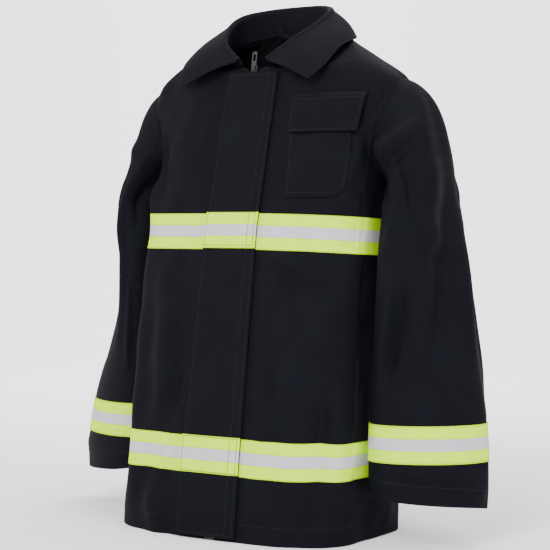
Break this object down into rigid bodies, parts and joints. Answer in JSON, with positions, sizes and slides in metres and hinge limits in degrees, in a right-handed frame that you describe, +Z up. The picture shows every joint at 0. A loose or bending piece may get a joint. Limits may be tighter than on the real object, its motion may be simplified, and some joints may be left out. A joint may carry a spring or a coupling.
{
  "type": "turnout coat",
  "caption": "Dark firefighter's turnout coat with reflective bands, storm flap over a front zip, flapped chest pocket, turned-down collar and bending sleeves.",
  "frame": {"origin": "the wearer's centre line, level with the hem", "axes": "-Y out of the front, +Z up, +X to the wearer's left"},
  "size_m": [0.6758, 0.2955, 0.745],
  "materials": {
    "shell_cloth": "matte woven aramid, navy black",
    "liner_cloth": "matte quilted",
    "reflective_tape": "fluorescent yellow-green with a silver reflective middle",
    "zip_tape": "matte woven",
    "zip_teeth": "satin",
    "zip_metal": "polished nickel",
    "hook_and_loop": "matte pile",
    "webbing": "matte woven webbing"
  },
  "bodies": {
    "torso": {"front_panel_left": "shell_cloth", "front_panel_right": "shell_cloth", "back_panel": "shell_cloth", "liner_front_left": "liner_cloth", "liner_front_right": "liner_cloth", "liner_back": "liner_cloth", "hem_facing": "shell_cloth", "chest_tape_left": "reflective_tape", "chest_tape_right": "reflective_tape", "chest_tape_back": "reflective_tape", "hem_tape_left": "reflective_tape", "hem_tape_right": "reflective_tape", "hem_tape_back": "reflective_tape", "flap_loop_strip": "hook_and_loop", "zip_tape_left": "zip_tape", "zip_tape_right": "zip_tape", "zip_teeth_left": "zip_teeth", "zip_teeth_right": "zip_teeth", "zip_box": "zip_teeth", "pocket_body": "shell_cloth", "pocket_loop_patch": "hook_and_loop", "collar_leaf": "shell_cloth", "collar_stand": "shell_cloth", "hanger_loop": "webbing", "shoulder_cap_left": "shell_cloth", "shoulder_cap_right": "shell_cloth"},
    "storm_flap": {"storm_flap": "shell_cloth", "flap_chest_tape": "reflective_tape", "flap_hem_tape": "reflective_tape", "flap_hook_strip": "hook_and_loop"},
    "pocket_flap": {"pocket_flap": "shell_cloth", "pocket_hook_patch": "hook_and_loop"},
    "zip_slider": {"zip_slider": "zip_metal"},
    "zip_pull": {"zip_pull": "zip_metal"},
    "upper_arm_left": {"upper_sleeve_left": "shell_cloth", "sleeve_liner_upper_left": "liner_cloth", "elbow_fold_left": "shell_cloth"},
    "forearm_left": {"lower_sleeve_left": "shell_cloth", "sleeve_liner_lower_left": "liner_cloth", "cuff_facing_left": "shell_cloth", "sleeve_tape_left": "reflective_tape"},
    "upper_arm_right": {"upper_sleeve_right": "shell_cloth", "sleeve_liner_upper_right": "liner_cloth", "elbow_fold_right": "shell_cloth"},
    "forearm_right": {"lower_sleeve_right": "shell_cloth", "sleeve_liner_lower_right": "liner_cloth", "cuff_facing_right": "shell_cloth", "sleeve_tape_right": "reflective_tape"}
  },
  "joints": [
    {"name": "storm_flap_open", "type": "hinge", "parent": "torso", "child": "storm_flap", "pos_m": [0.042, -0.10465, 0.31589], "axis": [0, 0.1752, 0.9845], "range_deg": [0, 110]},
    {"name": "pocket_flap_lift", "type": "hinge", "parent": "torso", "child": "pocket_flap", "pos_m": [0.12068, -0.05957, 0.60852], "axis": [-0.9925, -0.12, 0.0214], "range_deg": [0, 130]},
    {"name": "zip_slide", "type": "slide", "parent": "torso", "child": "zip_slider", "axis": [0, -0.1752, -0.9845], "range_m": [0, 0.6]},
    {"name": "zip_pull_tilt", "type": "hinge", "parent": "zip_slider", "child": "zip_pull", "pos_m": [0, -0.04205, 0.64247], "axis": [1, 0, 0], "range_deg": [0, 100]},
    {"name": "shoulder_left_raise", "type": "hinge", "parent": "torso", "child": "upper_arm_left", "pos_m": [0.205, 0.02, 0.565], "axis": [0, -1, 0], "range_deg": [0, 80], "deforming": ["shoulder_cap_left"]},
    {"name": "shoulder_right_raise", "type": "hinge", "parent": "torso", "child": "upper_arm_right", "pos_m": [-0.205, 0.02, 0.565], "axis": [0, 1, 0], "range_deg": [0, 80], "deforming": ["shoulder_cap_right"]},
    {"name": "elbow_left_bend", "type": "hinge", "parent": "upper_arm_left", "child": "forearm_left", "pos_m": [0.242, -0.005, 0.3], "axis": [-1, 0, 0], "range_deg": [0, 80], "deforming": ["elbow_fold_left"]},
    {"name": "elbow_right_bend", "type": "hinge", "parent": "upper_arm_right", "child": "forearm_right", "pos_m": [-0.242, 0.018, 0.3], "axis": [-1, 0, 0], "range_deg": [0, 80], "deforming": ["elbow_fold_right"]}
  ]
}
